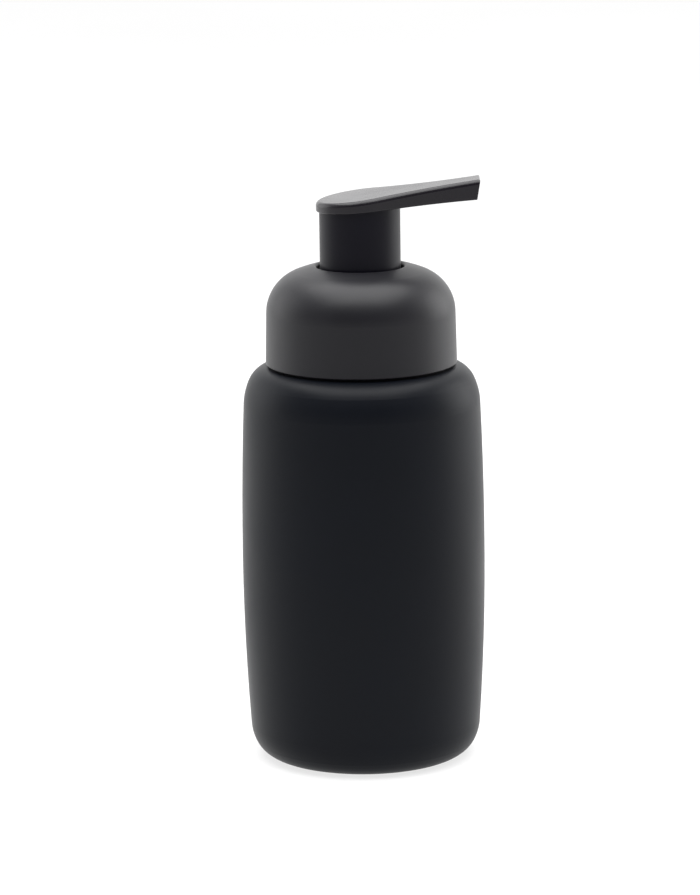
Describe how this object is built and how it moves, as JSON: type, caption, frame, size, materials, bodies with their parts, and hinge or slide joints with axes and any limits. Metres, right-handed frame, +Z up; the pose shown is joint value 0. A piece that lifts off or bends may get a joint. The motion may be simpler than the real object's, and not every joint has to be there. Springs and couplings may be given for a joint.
{
  "type": "soap pump dispenser",
  "caption": "Counter-top foam soap dispenser: a rounded dark bottle, a domed screw cap and a press pump with a leaf-shaped head and spout.",
  "frame": {"origin": "middle of the bottle's foot, on the surface that it stands on", "axes": "+Z up along the bottle's axis, +X along the spout with the head in its rest position, +Y towards the back"},
  "size_m": [0.075, 0.075, 0.1803],
  "materials": {
    "bottle_glaze": "matte near-black glaze on stoneware",
    "neck_plastic": "moulded black polypropylene",
    "black_rubber": "satin",
    "white_seal": "satin",
    "clear_plastic": "natural translucent polypropylene",
    "pump_plastic": "moulded natural polypropylene",
    "tube_plastic": "natural translucent polyethylene",
    "spring_steel": "drawn stainless wire",
    "cap_plastic": "soft-touch matte",
    "ring_plastic": "moulded",
    "ball_steel": "ground",
    "piston_plastic": "moulded natural polyethylene",
    "screen_mesh": "fine mesh",
    "valve_rubber": "soft silicone",
    "sleeve_plastic": "soft-touch matte",
    "head_plastic": "soft-touch matte",
    "nozzle_plastic": "moulded"
  },
  "bodies": {
    "bottle": {"ceramic_bottle": "bottle_glaze", "neck_insert": "neck_plastic", "insert_seal": "black_rubber"},
    "pump_body": {"neck_gasket": "white_seal", "pump_housing": "clear_plastic", "piston_retainer": "pump_plastic", "dip_tube": "tube_plastic", "ball_cage": "pump_plastic", "return_spring": "spring_steel"},
    "cap": {"dome_cap": "cap_plastic", "screw_ring": "ring_plastic"},
    "inlet_ball": {"inlet_ball": "ball_steel"},
    "plunger": {"liquid_piston": "piston_plastic", "mixing_stem": "pump_plastic", "lower_screen": "screen_mesh", "screen_holder": "pump_plastic", "upper_screen": "screen_mesh"},
    "outlet_ball": {"outlet_ball": "ball_steel"},
    "air_piston": {"air_piston": "piston_plastic", "air_valve": "valve_rubber"},
    "head": {"actuator_body": "sleeve_plastic", "head_cover": "head_plastic", "nozzle_tip": "nozzle_plastic"}
  },
  "joints": [
    {"name": "pump_rise", "type": "slide", "parent": "bottle", "child": "pump_body", "axis": [0, 0, 1], "range_m": [0, 0.0057]},
    {"name": "cap_unscrew", "type": "hinge", "parent": "pump_body", "child": "cap", "pos_m": [0, 0, 0.13], "axis": [0, 0, 1], "range_deg": [0, 630]},
    {"name": "head_press", "type": "slide", "parent": "pump_body", "child": "plunger", "axis": [0, 0, -1], "range_m": [0, 0.014], "stiffness_N_per_m": 500, "springref_m": -0.0004, "deforming": ["return_spring"]},
    {"name": "head_swivel", "type": "hinge", "parent": "plunger", "child": "head", "pos_m": [0, 0, 0.16], "axis": [0, 0, 1], "continuous": true},
    {"name": "air_piston_float", "type": "slide", "parent": "plunger", "child": "air_piston", "axis": [0, 0, 1], "range_m": [0, 0.00095]},
    {"name": "inlet_ball_lift", "type": "slide", "parent": "pump_body", "child": "inlet_ball", "axis": [0, 0, 1], "range_m": [0, 0.0012]},
    {"name": "outlet_ball_lift", "type": "slide", "parent": "plunger", "child": "outlet_ball", "axis": [0, 0, 1], "range_m": [0, 0.00115]}
  ],
  "couplings": [
    {"joint": "pump_rise", "follows": "cap_unscrew", "m_per_rad": 0.0005093}
  ]
}
